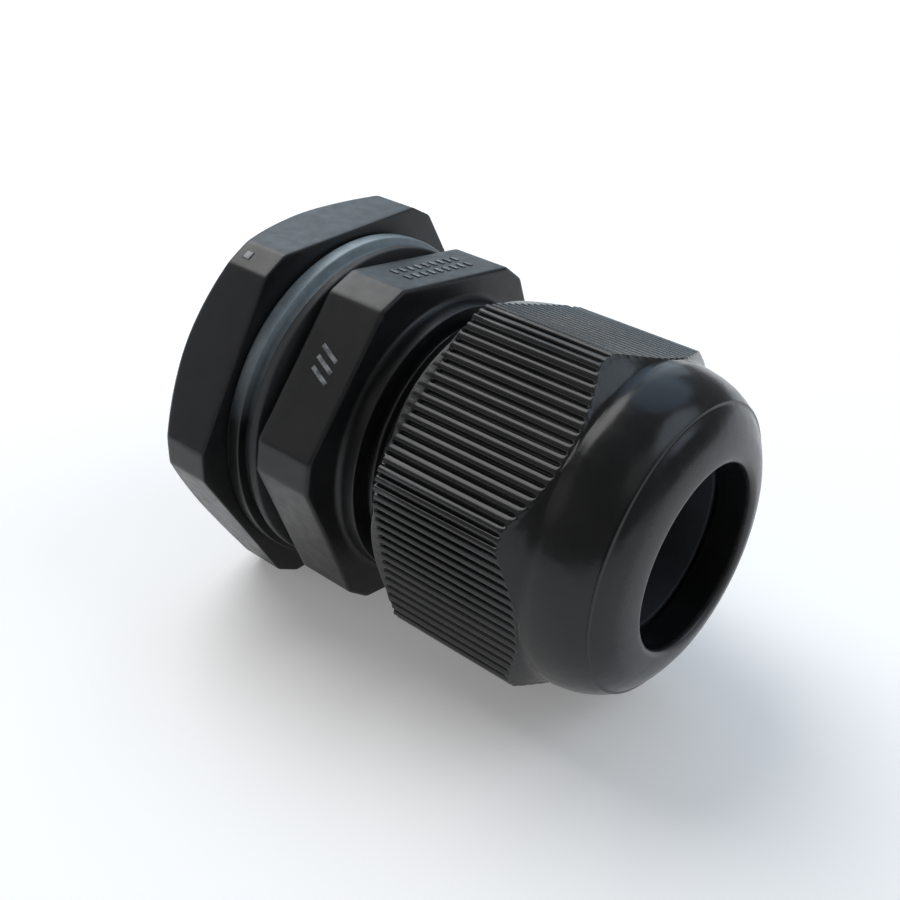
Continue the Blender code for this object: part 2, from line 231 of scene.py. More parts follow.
# distance from the middle of a bar as a share of its half size, share of its height
BAR_EDGE = ((0.0, 0.7, 0.84, 0.94, 1.0), (1.0, 1.0, 0.92, 0.6, 0.0))
BAR_HEIGHT = 0.09 * MM
BAR_FOOT = 0.03 * MM
# length and width of each kind of bar
SLANTED_BAR = (2.3 * MM, 0.42 * MM)
DASH = (0.9 * MM, 0.36 * MM)
PIP = (0.8 * MM, 0.8 * MM)
BAR_SLANT = math.radians(24)
MARK_ALONG = -1.0 * MM
MARK_BAR_PITCH = 0.95 * MM
DASHES = 9
DASH_PITCH = 0.95 * MM
DASH_ROW = 0.75 * MM
LOCKNUT_PIP = 3.7 * MM
# angle of a flat and its distance from the axis
BODY_UPPER_FLAT = (math.pi / 2 + DEG_60 + BODY_TURN, BODY_HALF_FLATS)
BODY_TOP_FLAT = (math.pi / 2 + BODY_TURN, BODY_HALF_FLATS)
LOCKNUT_CORNER = (math.pi / 2 + DEG_30, LOCKNUT_CORNER_R)

# gasket and seal
GASKET_REAR = 9.15 * MM
GASKET_FRONT = 10.0 * MM
GASKET_R = 14.5 * MM
GASKET_HOLE_R = 11.55 * MM
GASKET_COLUMNS = 160
SEAL_REAR = 29.3 * MM
SEAL_FRONT = 39.5 * MM
SEAL_BORE_R = 6.9 * MM
SEAL_MOUTH_R = 7.6 * MM
SEAL_THROAT = 35.5 * MM
SEAL_REAR_R = 8.7 * MM
SEAL_WAIST_R = 7.75 * MM
SEAL_WAIST = 36.0 * MM
SEAL_FLANGE_REAR = 38.95 * MM
SEAL_FLANGE_R = 8.7 * MM
SEAL_RIDGES = 3
SEAL_RIDGE_DEPTH = 0.25 * MM
# half a ridge's top as a share of the ridges' spacing
SEAL_RIDGE_HALF = 0.45

# clamping fingers
FINGER_COUNT = 12
FINGER_ROOT = 28.9 * MM
FINGER_LENGTH = 7.1 * MM
FINGER_OUTER_R = 10.3 * MM
FINGER_INNER_R = 9.2 * MM
FINGER_ROOT_R = (FINGER_OUTER_R + FINGER_INNER_R) / 2
FINGER_SLIT = 1.2 * MM
FINGER_TIP_CHAMFER = 0.5 * MM
FINGER_LEAN = math.radians(4.5)
FINGER_ARC_STEPS = 10
FINGER_SOFT = 0.1 * MM
FINGER_SOFT_STEPS = 3

# dome nut
NUT_HALF_FLATS = 13.5 * MM
NUT_CORNER_R = 15.1 * MM
NUT_TURN = math.radians(-19.33)
NUT_REAR = 21.8 * MM
NUT_FACE_R = 13.3 * MM
RIBS_PER_FLAT = 16
RIB_PITCH = 2 * NUT_HALF_FLATS * math.tan(DEG_30) / (RIBS_PER_FLAT + 1)
NUT_CORNER_SOFT = 0.06 * MM
RIB_DEPTH = 0.4 * MM
RIB_START = 22.83 * MM
RIB_START_SLOPE = 0.22 * MM
RIB_FADE = 0.4 * MM
RIB_END_DEPTH = 0.08
RIB_TIP = 0.04 * MM
FLAT_END = 36.0 * MM
FLAT_END_SLOPE = 0.12 * MM
FLAT_END_STEP = 0.12 * MM
# half a rib from the middle of its top towards its foot: distance, share of its height
RIB_HALF = (
    (0.03 * MM, 0.99),
    (0.10 * MM, 0.94),
    (0.17 * MM, 0.875),
    (0.24 * MM, 0.80),
    (0.29 * MM, 0.68),
    (0.335 * MM, 0.42),
    (0.375 * MM, 0.16),
    (0.42 * MM, 0.03),
)
# outlines of the nut as (station, radius) pairs in millimetres
NUT_REAR_CONE = ((21.8, 13.3), (21.9, 13.5), (22.7, 14.15), (23.1, 15.2), (23.6, 15.8))
NUT_FRONT_CONE = (
    (34.2, 15.8),
    (34.6, 15.2),
    (35.25, 14.4),
    (35.7, 13.93),
    (36.0, 13.66),
    (36.3, 13.51),
    (36.7, 13.43),
)
DOME_OUTLINE = (
    (36.7, 13.43),
    (37.4, 13.42),
    (38.5, 13.23),
    (39.5, 12.92),
    (40.4, 12.48),
    (41.06, 11.99),
)
CREASE_OUTLINE = ((41.11, 12.05), (41.17, 12.02), (41.22, 11.91))
# past this station the nut is smooth, with no wear and no painted edge glint
NUT_NOSE = 38.0 * MM
NOSE_FADE = 0.1 * MM
# from here to the mouth the lip is duller and painted lighter for its highlight
LIP_DULL = (42.2 * MM, 42.9 * MM)
LIP_OUTLINE = (
    (41.23, 11.8),
    (41.8, 11.06),
    (42.35, 10.06),
    (42.7, 9.14),
    (42.88, 8.42),
    (42.88, 8.05),
    (42.68, 7.74),
    (42.4, 7.67),
)
NUT_FRONT_ROWS = 9
RIB_ROWS = 3
DOME_STEPS = 6
LIP_STEPS = 9
NUT_ROOT_R = THREAD_CREST_R + THREAD_CLEARANCE
NUT_THREAD_END = 31.6 * MM
NUT_CONE_START = 32.2 * MM
NUT_CONE_START_R = 11.1 * MM
NUT_SHOULDER = 39.8 * MM
NUT_SHOULDER_R = 9.1 * MM
NUT_MOUTH_R = 7.67 * MM


def axis_points(stations, radii, angles):
    """Points about the gland's axis; angles run from +Y towards +Z."""
    x = REAR_X + stations
    y = radii * np.cos(angles)
    z = AXIS_HEIGHT + radii * np.sin(angles)
    return np.stack(np.broadcast_arrays(x, y, z), axis=-1)


class Shells:
    """Collects grids of points that become one mesh."""

    def __init__(self):
        self.points = []
        self.faces = []
        self.count = 0

    def add(self, points, faces):
        """Adds points (n, 3) and faces that index them."""
        self.points.append(points)
        self.faces.append(faces + self.count)
        self.count += len(points)

    def add_ring(self, grid, closed):
        """Adds a grid (columns, rows, 3) whose columns close into a ring."""
        columns, rows, _ = grid.shape
        index = np.arange(columns * rows).reshape(columns, rows)
        after = np.roll(index, -1, axis=0)
        if closed:
            low, high = index, np.roll(index, -1, axis=1)
            low2, high2 = after, np.roll(after, -1, axis=1)
        else:
            low, high = index[:, :-1], index[:, 1:]
            low2, high2 = after[:, :-1], after[:, 1:]
        faces = np.stack([low, low2, high2, high], axis=-1).reshape(-1, 4)
        self.add(grid.reshape(-1, 3), faces)

    def mesh(self, name):
        """The collected shells as one mesh."""
        made = bpy.data.meshes.new(name)
        points = np.concatenate(self.points)
        faces = np.concatenate(self.faces)
        made.from_pydata(points.tolist(), [], faces.tolist())
        made.update()
        return made


def round_path(keys, closed):
    """Rounds the corners of a path.

    keys is a list of (point, reach, steps, runs). point is an array (columns, d)
    whose first two values are station and radius; reach is how far from the corner
    the rounding starts, steps how many chords it has, and runs into how many pieces
    the straight stretch after it is split. The answer has shape (columns, rows, d).
    """
    rows = []
    total = len(keys)
    for place, (here, reach, steps, runs) in enumerate(keys):
        before = keys[place - 1][0]
        after = keys[(place + 1) % total][0]
        end = not closed and place in (0, total - 1)
        if steps == 0 or end:
            rows.append(([here], runs))
            continue
        back = np.linalg.norm((before - here)[:, :2], axis=1)
        ahead = np.linalg.norm((after - here)[:, :2], axis=1)
        length = np.minimum(reach, EDGE_SHARE * np.minimum(back, ahead))
        start = here + (before - here) * (length / np.maximum(back, WELD))[:, None]
        stop = here + (after - here) * (length / np.maximum(ahead, WELD))[:, None]
        arc = []
        for step in range(steps + 1):
            t = step / steps
            arc.append(start * (1 - t) ** 2 + here * 2 * t * (1 - t) + stop * t**2)
        rows.append((arc, runs))
    path = []
    for place, (arc, runs) in enumerate(rows):
        path += arc
        if place == total - 1 and not closed:
            break
        following = rows[(place + 1) % total][0][0]
        for run in range(1, runs):
            path.append(arc[-1] + (following - arc[-1]) * run / runs)
    return np.stack(path, axis=1)


def key(station, radius, angles, reach=0.0, steps=0, runs=1):
    """One corner of a column path for every column in angles."""
    point = np.stack(np.broadcast_arrays(station, radius, angles), axis=-1)
    return point, reach, steps, runs


def ring(shells, keys, closed=False):
    """Adds the surface of a rounded column path."""
    path = round_path(keys, closed)
    shells.add_ring(axis_points(path[..., 0], path[..., 1], path[..., 2]), closed)


def side_frame(angle):
    """The outward direction of a side and the direction along it."""
    outward = np.array((math.cos(angle), math.sin(angle)))
    along = np.array((-math.sin(angle), math.cos(angle)))
    return outward, along


def polar(points):
    """Angles and radii of (Y, Z) points about the axis, the angles always growing."""
    return np.unwrap(np.arctan2(points[:, 1], points[:, 0])), np.hypot(*points.T)


def flat_half_width(half_flats, corner_r):
    """Half the width that cutting the corners at corner_r leaves of one flat."""
    full_corner = half_flats / math.cos(DEG_30)
    cut_back = (full_corner - corner_r) / math.cos(DEG_60)
    return half_flats * math.tan(DEG_30) - cut_back


def hexagon(half_flats, corner_r, turn):
    """Angles and radii of a hexagon with cut corners and soft edges."""
    keys = []
    reach = flat_half_width(half_flats, corner_r)
    for side in range(6):
        outward, along = side_frame(math.pi / 2 + side * DEG_60 + turn)
        start = outward * half_flats - along * reach
        stop = outward * half_flats + along * reach
        keys.append((start[None, :], HEX_CORNER_SOFT, HEX_CORNER_STEPS, FLAT_COLUMNS))
        keys.append((stop[None, :], HEX_CORNER_SOFT, HEX_CORNER_STEPS, CORNER_COLUMNS))
    return polar(round_path(keys, True)[0])


def turned_down(radii, limit, soft):
    """Radii cut to a limit, with a soft edge where the cut begins."""
    return limit - soft * np.logaddexp(0, (limit - radii) / soft)


def ribbed_hexagon():
    """The dome nut's sections: angles, radii with ribs and radii without.

    The ribs stand at even steps along each side with one on every corner, and
    the corners are turned down.
    """
    points = []
    drops = []
    middle = (RIBS_PER_FLAT + 1) / 2
    rising = [(-x, h) for x, h in reversed(RIB_HALF)]
    for side in range(6):
        outward, along = side_frame(math.pi / 2 + side * DEG_60 + NUT_TURN)
        for rib in range(RIBS_PER_FLAT + 2):
            centre = (rib - middle) * RIB_PITCH
            shape = []
            if rib > 0:
                shape += [(-RIB_PITCH / 2, 0.0)] + rising
            if rib <= RIBS_PER_FLAT:
                shape += list(RIB_HALF)
            for x, h in shape:
                points.append(outward * NUT_HALF_FLATS + along * (centre + x))
                drops.append(RIB_DEPTH * (1 - h))
    angles, radii = polar(np.array(points))
    plain = turned_down(radii, NUT_CORNER_R, NUT_CORNER_SOFT)
    return angles, plain - np.array(drops), plain


def even_angles(count):
    """Evenly spaced angles of a plain turned surface."""
    return np.arange(count) * math.tau / count


def thread(shells, start, stop, outward, end_r):
    """Adds a right-handed helical thread surface from station start to stop.

    outward is True on a bolt and False in a nut. The thread fades to end_r at both
    ends.
    """
    per_pitch = len(THREAD_PROFILE)
    share = np.array([p[0] for p in THREAD_PROFILE])
    height = np.array([p[1] for p in THREAD_PROFILE])
    pitches = int(math.ceil((stop - start) / THREAD_PITCH)) + 2
    row_station = (np.arange(pitches)[:, None] + share[None, :]).ravel() * THREAD_PITCH
    row_height = np.tile(height, pitches)
    origin = math.floor(start / THREAD_PITCH) * THREAD_PITCH - THREAD_PITCH
    angles = even_angles(ROUND_COLUMNS)
    lift = angles / math.tau * THREAD_PITCH
    stations = origin + row_station[None, :] + lift[:, None]
    gap = 0.0 if outward else THREAD_CLEARANCE
    depth = THREAD_CREST_R - THREAD_CORE_R
    radii = THREAD_CORE_R + gap + depth * row_height[None, :]
    from_start = np.clip((stations - start) / THREAD_FADE, 0, 1)
    from_stop = np.clip((stop - stations) / THREAD_FADE, 0, 1)
    radii = end_r + (radii - end_r) * from_start
    radii = end_r + (radii - end_r) * from_stop
    stations = np.clip(stations, start, stop)
    grid = axis_points(stations, radii, angles[:, None])
    columns, rows, _ = grid.shape
    index = np.arange(columns * rows).reshape(columns, rows)
    here, there = index[:-1], index[1:]
    faces = [np.stack([here[:, :-1], there[:, :-1], there[:, 1:], here[:, 1:]], axis=-1)]
    last, first = index[-1, : rows - per_pitch], index[0, per_pitch:]
    faces.append(np.stack([last[:-1], first[:-1], first[1:], last[1:]], axis=-1)[None])
    faces = np.concatenate([f.reshape(-1, 4) for f in faces])
    if not outward:
        faces = faces[:, ::-1]
    shells.add(grid.reshape(-1, 3), faces)


def raised_bar(shells, flat, station, along, size, turn=0.0):
    """Adds a soft-edged bar standing on a flat, turned from the gland's axis by turn.

    flat is the flat's angle and its distance from the axis, and size the bar's
    length and width.
    """
    angle, distance = flat
    length, width = size
    u, v = np.meshgrid(BAR_STEPS, BAR_STEPS, indexing="ij")
    height = np.minimum(
        np.interp(np.abs(u), BAR_EDGE[0], BAR_EDGE[1]),
        np.interp(np.abs(v), BAR_EDGE[0], BAR_EDGE[1]),
    )
    u = u * length / 2
    v = v * width / 2
    outward, side = side_frame(angle)
    x = REAR_X + station + u * math.cos(turn) - v * math.sin(turn)
    sideways = along + u * math.sin(turn) + v * math.cos(turn)
    out = distance - BAR_FOOT + (BAR_HEIGHT + BAR_FOOT) * height
    y = outward[0] * out + side[0] * sideways
    z = AXIS_HEIGHT + outward[1] * out + side[1] * sideways
    grid = np.stack([x, y, z], axis=-1)
    index = np.arange(u.size).reshape(u.shape)
    faces = [index[:-1, :-1], index[:-1, 1:], index[1:, 1:], index[1:, :-1]]
    shells.add(grid.reshape(-1, 3), np.stack(faces, axis=-1).reshape(-1, 4))


def body_marks(shells):
    """Plain moulding marks: three slanted bars on one flat, rows of dashes on the next."""
    middle = (HEX_REAR + HEX_FRONT) / 2
    for bar in (-1, 0, 1):
        place = MARK_ALONG + bar * MARK_BAR_PITCH
        raised_bar(shells, BODY_UPPER_FLAT, middle, place, SLANTED_BAR, BAR_SLANT)
    for row in (-1, 1):
        for dash in range(DASHES):
            place = (dash - (DASHES - 1) / 2) * DASH_PITCH
            raised_bar(shells, BODY_TOP_FLAT, middle + row * DASH_ROW, place, DASH)


def gland_body():
    """Body: hexagon, flange and collar, both threads, the bore and the two ends."""
    shells = Shells()
    angles, section = hexagon(BODY_HALF_FLATS, BODY_CORNER_R, BODY_TURN)
    inner = THREAD_CORE_R - THREAD_OVERLAP
    keys = [
        key(FLANGE_REAR, inner, angles),
        key(FLANGE_REAR, FLANGE_R, angles, *SMALL_EDGE),
        key(HEX_REAR, FLANGE_R, angles, *FINE_EDGE),
        key(HEX_REAR, section - FACE_ROW, angles),
        key(HEX_REAR, section, angles, *HEX_REAR_EDGE, HEX_ROWS),
        key(HEX_FRONT, section, angles, *HEX_FRONT_EDGE),
        key(HEX_FRONT, section - FACE_ROW, angles),
        key(HEX_FRONT, COLLAR_R, angles, *COLLAR_FILLET),
        key(COLLAR_FRONT, COLLAR_R, angles, *COLLAR_EDGE),
        key(COLLAR_FRONT, inner, angles),
    ]
    ring(shells, keys)
    thread(shells, THREAD_LEAD, FLANGE_REAR, True, THREAD_CORE_R)
    clamp_end = BODY_FRONT - THREAD_LEAD
    thread(shells, COLLAR_FRONT, clamp_end, True, THREAD_CORE_R)
    around = even_angles(ROUND_COLUMNS)
    keys = [
        key(clamp_end, THREAD_CORE_R, around),
        key(BODY_FRONT, BODY_END_R, around, *FINE_EDGE),
        key(BODY_FRONT, SEAT_R, around, *FINE_EDGE),
        key(SEAT_REAR, SEAT_R, around, *SEAT_EDGE),
        key(SEAT_REAR, BORE_R, around, *SEAT_EDGE, BORE_ROWS),
        key(0.0, BORE_R, around, *BORE_EDGE),
        key(0.0, BODY_END_R, around, *SMALL_EDGE),
        key(THREAD_LEAD, THREAD_CORE_R, around),
    ]
    ring(shells, keys)
    body_marks(shells)
    return shells.mesh("body_moulding")


def locknut():
    """Locknut: hexagon with a rear chamfer, a bearing collar and an inner thread."""
    shells = Shells()
    angles, section = hexagon(LOCKNUT_HALF_FLATS, LOCKNUT_CORNER_R, 0.0)
    chamfer_front = LOCKNUT_REAR + (section - LOCKNUT_FACE_R) * LOCKNUT_CHAMFER_SLOPE
    root_r = THREAD_CREST_R + THREAD_CLEARANCE
    thread_rear = LOCKNUT_REAR + COUNTERSINK_DEPTH
    thread_front = LOCKNUT_COLLAR_FRONT - COUNTERSINK_DEPTH
    keys = [
        key(thread_rear, root_r, angles),
        key(LOCKNUT_REAR, COUNTERSINK_R, angles, *FINE_EDGE),
        key(LOCKNUT_REAR, LOCKNUT_FACE_R, angles, *CHAMFER_EDGE, FACE_ROWS),
        key(chamfer_front, section, angles, *CHAMFER_EDGE, HEX_ROWS),
        key(LOCKNUT_FRONT, section, angles, *FACE_EDGE),
        key(LOCKNUT_FRONT, section - FACE_ROW, angles, runs=FACE_ROWS),
        key(LOCKNUT_FRONT, LOCKNUT_COLLAR_REAR_R, angles, *SMALL_EDGE),
        key(LOCKNUT_BAND[0], LOCKNUT_COLLAR_R, angles, *ROUND_EDGE),
        key(LOCKNUT_BAND[1], LOCKNUT_COLLAR_R, angles, *BAND_EDGE),
        key(LOCKNUT_BAND[1], LOCKNUT_SPIGOT_R, angles, *FINE_EDGE),
        key(LOCKNUT_COLLAR_FRONT, LOCKNUT_SPIGOT_R, angles, *FINE_EDGE),
        key(LOCKNUT_COLLAR_FRONT, COUNTERSINK_R, angles, *FINE_EDGE),
        key(thread_front, root_r, angles),
    ]
    ring(shells, keys)
    thread(shells, thread_rear, thread_front, False, root_r)
    raised_bar(shells, LOCKNUT_CORNER, LOCKNUT_PIP, 0.0, PIP)
    return shells.mesh("locknut_moulding")


def gasket():
    """Flat rubber washer with soft edges."""
    shells = Shells()
    around = even_angles(GASKET_COLUMNS)
    keys = [
        key(GASKET_REAR, GASKET_R, around, *GASKET_EDGE),
        key(GASKET_FRONT, GASKET_R, around, *GASKET_EDGE),
        key(GASKET_FRONT, GASKET_HOLE_R, around, *FINE_EDGE),
        key(GASKET_REAR, GASKET_HOLE_R, around, *FINE_EDGE),
    ]
    ring(shells, keys, closed=True)
    return shells.mesh("gasket_ring")


def sealing_insert():
    """Tapered rubber sleeve with a front flange and gripping ridges in its bore."""
    shells = Shells()
    around = even_angles(ROUND_COLUMNS)
    keys = [
        key(SEAL_REAR, SEAL_REAR_R, around, *TAIL_EDGE),
        key(SEAL_WAIST, SEAL_WAIST_R, around, *WAIST_BEND),
        key(SEAL_FLANGE_REAR, SEAL_WAIST_R, around, *SOFT_EDGE),
        key(SEAL_FLANGE_REAR, SEAL_FLANGE_R, around, *SMALL_EDGE),
        key(SEAL_FRONT, SEAL_FLANGE_R, around, *SMALL_EDGE),
        key(SEAL_FRONT, SEAL_MOUTH_R, around, *ROUND_EDGE),
        key(SEAL_THROAT, SEAL_BORE_R, around, *THROAT_BEND),
    ]
    spacing = (SEAL_THROAT - SEAL_REAR) / (SEAL_RIDGES + 1)
    for ridge in range(SEAL_RIDGES):
        groove = SEAL_THROAT - (ridge + 1) * spacing
        edge = SEAL_RIDGE_HALF * spacing
        keys.append(key(groove + edge, SEAL_BORE_R, around, *SOFT_EDGE))
        keys.append(key(groove, SEAL_BORE_R + SEAL_RIDGE_DEPTH, around, *GROOVE_BEND))
    keys.append(key(SEAL_REAR, SEAL_BORE_R, around, *SOFT_EDGE))
    ring(shells, keys, closed=True)
    return shells.mesh("seal_sleeve")


def cone_crossing(cone, radius, rising):
    """The station at which a cone reaches each radius."""
    stations = np.array([p[0] for p in cone]) * MM
    radii = np.array([p[1] for p in cone]) * MM
    if not rising:
        stations, radii = stations[::-1], radii[::-1]
    return np.interp(radius, radii, stations)


def cone_radius(cone, station):
    """The cone's radius at each station."""
    stations = np.array([p[0] for p in cone]) * MM
    radii = np.array([p[1] for p in cone]) * MM
    return np.interp(station, stations, radii)


def smooth_curve(outline, steps):
    """Points along a smooth curve through the outline's points."""
    known = np.array(outline)
    ends = [2 * known[0] - known[1], *known, 2 * known[-1] - known[-2]]
    curve = []
    for before, here, there, after in zip(ends, ends[1:], ends[2:], ends[3:]):
        for step in range(steps):
            t = step / steps
            leave = (there - before) / 2
            arrive = (after - here) / 2
            curve.append(
                (2 * t**3 - 3 * t**2 + 1) * here
                + (t**3 - 2 * t**2 + t) * leave
                + (3 * t**2 - 2 * t**3) * there
                + (t**3 - t**2) * arrive
            )
    curve.append(known[-1])
    return curve


def dome_nut():
    """Dome nut: ribbed hexagon, two end cones, rounded dome, nose lip and inside."""
    shells = Shells()
    angles, rib_r, plain_r = ribbed_hexagon()
    wall = RIB_START + RIB_START_SLOPE
    plain_start = np.minimum(cone_crossing(NUT_REAR_CONE, plain_r, True), RIB_START)
    plain_start_r = np.minimum(cone_radius(NUT_REAR_CONE, plain_start), plain_r)
    wall_r = np.minimum(cone_radius(NUT_REAR_CONE, RIB_START), plain_r)
    groove_r = np.minimum(cone_radius(NUT_REAR_CONE, wall), rib_r)
    rib_start = np.maximum(cone_crossing(NUT_REAR_CONE, rib_r, True), wall)
    flat_stop = np.minimum(cone_crossing(NUT_FRONT_CONE, plain_r, False), FLAT_END)
    rib_stop = flat_stop - RIB_TIP
    keys = [
        key(NUT_REAR + COUNTERSINK_DEPTH, NUT_ROOT_R, angles),
        key(NUT_REAR, COUNTERSINK_R, angles, *FINE_EDGE),
        key(NUT_REAR, NUT_FACE_R, angles, *CRISP_EDGE),
        key(plain_start, plain_start_r, angles, *CONE_EDGE),
        key(RIB_START, wall_r, angles),
        key(wall, groove_r, angles),
        key(rib_start, rib_r, angles, *CRISP_EDGE, RIB_ROWS),
        key(rib_stop - RIB_FADE, rib_r, angles),
        key(rib_stop, plain_r + (rib_r - plain_r) * RIB_END_DEPTH, angles, *TINY_EDGE),
    ]
    cone_start = flat_stop + FLAT_END_SLOPE
    cone_stop = NUT_FRONT_CONE[-1][0] * MM
    for share in np.linspace(0, 1, NUT_FRONT_ROWS)[:-1]:
        station = cone_start + (cone_stop - cone_start) * share
        radius = np.minimum(cone_radius(NUT_FRONT_CONE, station), plain_r)
        radius = radius - FLAT_END_STEP * (1 - share)
        keys.append(key(station, radius, angles))
    rim = smooth_curve(DOME_OUTLINE, DOME_STEPS)
    rim += [np.array(point) for point in CREASE_OUTLINE]
    rim += smooth_curve(LIP_OUTLINE, LIP_STEPS)
    for station, radius in rim:
        keys.append(key(station * MM, radius * MM, angles))
    ring(shells, keys)
    around = even_angles(ROUND_COLUMNS)
    mouth = LIP_OUTLINE[-1][0] * MM
    keys = [
        key(mouth, NUT_MOUTH_R, around),
        key(NUT_SHOULDER, NUT_MOUTH_R, around, *SMALL_EDGE),
        key(NUT_SHOULDER, NUT_SHOULDER_R, around, *SOFT_EDGE),
        key(NUT_CONE_START, NUT_CONE_START_R, around, *SHOULDER_EDGE),
        key(NUT_THREAD_END, NUT_ROOT_R, around),
    ]
    ring(shells, keys)
    thread_rear = NUT_REAR + COUNTERSINK_DEPTH
    thread(shells, thread_rear, NUT_THREAD_END, False, NUT_ROOT_R)
    return shells.mesh("dome_nut_moulding")


def claw_finger():
    """One finger about its root: +X along the finger, +Z away from the gland's axis."""
    half_angle = math.pi / FINGER_COUNT - FINGER_SLIT / 2 / FINGER_ROOT_R
    sections = (
        (0.0, FINGER_INNER_R, FINGER_OUTER_R),
        (FINGER_LENGTH / 2, FINGER_INNER_R, FINGER_OUTER_R),
        (FINGER_LENGTH - FINGER_TIP_CHAMFER, FINGER_INNER_R, FINGER_OUTER_R),
        (FINGER_LENGTH, FINGER_INNER_R, FINGER_OUTER_R - FINGER_TIP_CHAMFER),
    )
    steps = np.linspace(-half_angle, half_angle, FINGER_ARC_STEPS + 1)
    points = []
    for along, inner, outer in sections:
        for radius, angles in ((outer, steps), (inner, steps[::-1])):
            for angle in angles:
                height = radius * math.cos(angle) - FINGER_ROOT_R
                points.append((along, radius * math.sin(angle), height))
    size = 2 * len(steps)
    faces = []
    for section in range(len(sections) - 1):
        for corner in range(size):
            after = (corner + 1) % size
            low, high = section * size, (section + 1) * size
            faces.append((low + corner, high + corner, high + after, low + after))
    faces.append(tuple(range(size)))
    faces.append(tuple(reversed(range((len(sections) - 1) * size, len(points)))))
    made = bpy.data.meshes.new("finger_moulding")
    made.from_pydata(points, [], faces)
    made.update()
    return made


def new_material(name):
    """A node material and its Principled shader."""
    material = bpy.data.materials.new(name)
    material.use_nodes = True
    return material, material.node_tree.nodes["Principled BSDF"]


def feed(tree, socket, value):
    """Gives a socket a number, a colour or the value of an output."""
    if isinstance(value, bpy.types.NodeSocket):
        tree.links.new(value, socket)
    elif isinstance(value, tuple):
        socket.default_value = (*value, 1.0)
    else:
        socket.default_value = value


def noise(tree, scale, detail, roughness):
    """A noise pattern fixed to the piece, scale features to the metre."""
    place = tree.nodes.new("ShaderNodeTexCoord")
    pattern = tree.nodes.new("ShaderNodeTexNoise")
    pattern.inputs["Scale"].default_value = scale
    pattern.inputs["Detail"].default_value = detail
    pattern.inputs["Roughness"].default_value = roughness
    tree.links.new(place.outputs["Object"], pattern.inputs["Vector"])
    return pattern.outputs["Fac"]


def remap(tree, value, low, high, start=NOISE_LOW, stop=NOISE_HIGH):
    """Spreads a 0 to 1 pattern from start to stop over low to high."""
    change = tree.nodes.new("ShaderNodeMapRange")
    change.inputs["From Min"].default_value = start
    change.inputs["From Max"].default_value = stop
    change.inputs["To Min"].default_value = low
    change.inputs["To Max"].default_value = high
    tree.links.new(value, change.inputs["Value"])
    return change.outputs["Result"]


def mixed(tree, factor, first, second):
    """Blends from the first colour to the second; each is a colour or an output."""
    mix = tree.nodes.new("ShaderNodeMix")
    mix.data_type = "RGBA"
    feed(tree, mix.inputs["Factor"], factor)
    feed(tree, mix.inputs["A"], first)
    feed(tree, mix.inputs["B"], second)
    return mix.outputs["Result"]


def bump(tree, height, distance, before=None):
    """Raises the surface by height times distance."""
    raised = tree.nodes.new("ShaderNodeBump")
    raised.inputs["Strength"].default_value = 1.0
    raised.inputs["Distance"].default_value = distance
    tree.links.new(height, raised.inputs["Height"])
    if before is not None:
        tree.links.new(before, raised.inputs["Normal"])
    return raised.outputs["Normal"]


def arithmetic(tree, operation, first, second):
    """One maths node; each side is a number or an output."""
    made = tree.nodes.new("ShaderNodeMath")
    made.operation = operation
    feed(tree, made.inputs[0], first)
    feed(tree, made.inputs[1], second)
    return made.outputs["Value"]


def position(tree, axis):
    """The X, Y or Z at which each point of the piece was built."""
    place = tree.nodes.new("ShaderNodeTexCoord")
    parts = tree.nodes.new("ShaderNodeSeparateXYZ")
    tree.links.new(place.outputs["Object"], parts.inputs["Vector"])
    return parts.outputs[axis]


def past_station(tree, start, stop):
    """0 behind the station start, rising to 1 at the station stop."""
    return remap(tree, position(tree, "X"), 0.0, 1.0, REAR_X + start, REAR_X + stop)


# keeps the collar's painted reflection to its top
def toward_top(tree):
    """0 low on the piece, rising to 1 towards its top."""
    low, high = (AXIS_HEIGHT + height for height in REFLECTION_HEIGHTS)
    return remap(tree, position(tree, "Z"), 0.0, 1.0, low, high)


def edge_wear_and_glint(tree, smooth_from):
    """1 on the piece's outer edges, where handling has dulled them and a painted glint
    lightens them, 0 elsewhere.

    smooth_from is the station past which nothing is worn, or None.
    """
    shape = tree.nodes.new("ShaderNodeNewGeometry")
    edges = remap(tree, shape.outputs["Pointiness"], *WORN_AND_GLINTING_EDGES)
    patches = remap(tree, noise(tree, *WEAR_AND_GLINT_PATTERN), *WEAR_AND_GLINT_PATCHES)
    worn = arithmetic(tree, "MULTIPLY", edges, patches)
    if smooth_from is None:
        return worn
    nose = past_station(tree, smooth_from, smooth_from + NOSE_FADE)
    return arithmetic(tree, "MULTIPLY", worn, arithmetic(tree, "SUBTRACT", 1.0, nose))


def above_flat(tree, angle, distance):
    """0 on a flat at this angle and distance from the axis, 1 on marks raised from it."""
    place = tree.nodes.new("ShaderNodeTexCoord")
    along = tree.nodes.new("ShaderNodeVectorMath")
    along.operation = "DOT_PRODUCT"
    tree.links.new(place.outputs["Object"], along.inputs[0])
    along.inputs[1].default_value = (0.0, math.cos(angle), math.sin(angle))
    flat = distance + AXIS_HEIGHT * math.sin(angle)
    low, high = (flat + share * BAR_HEIGHT for share in MARK_TOPS)
    return remap(tree, along.outputs["Value"], 0.0, 1.0, low, high)


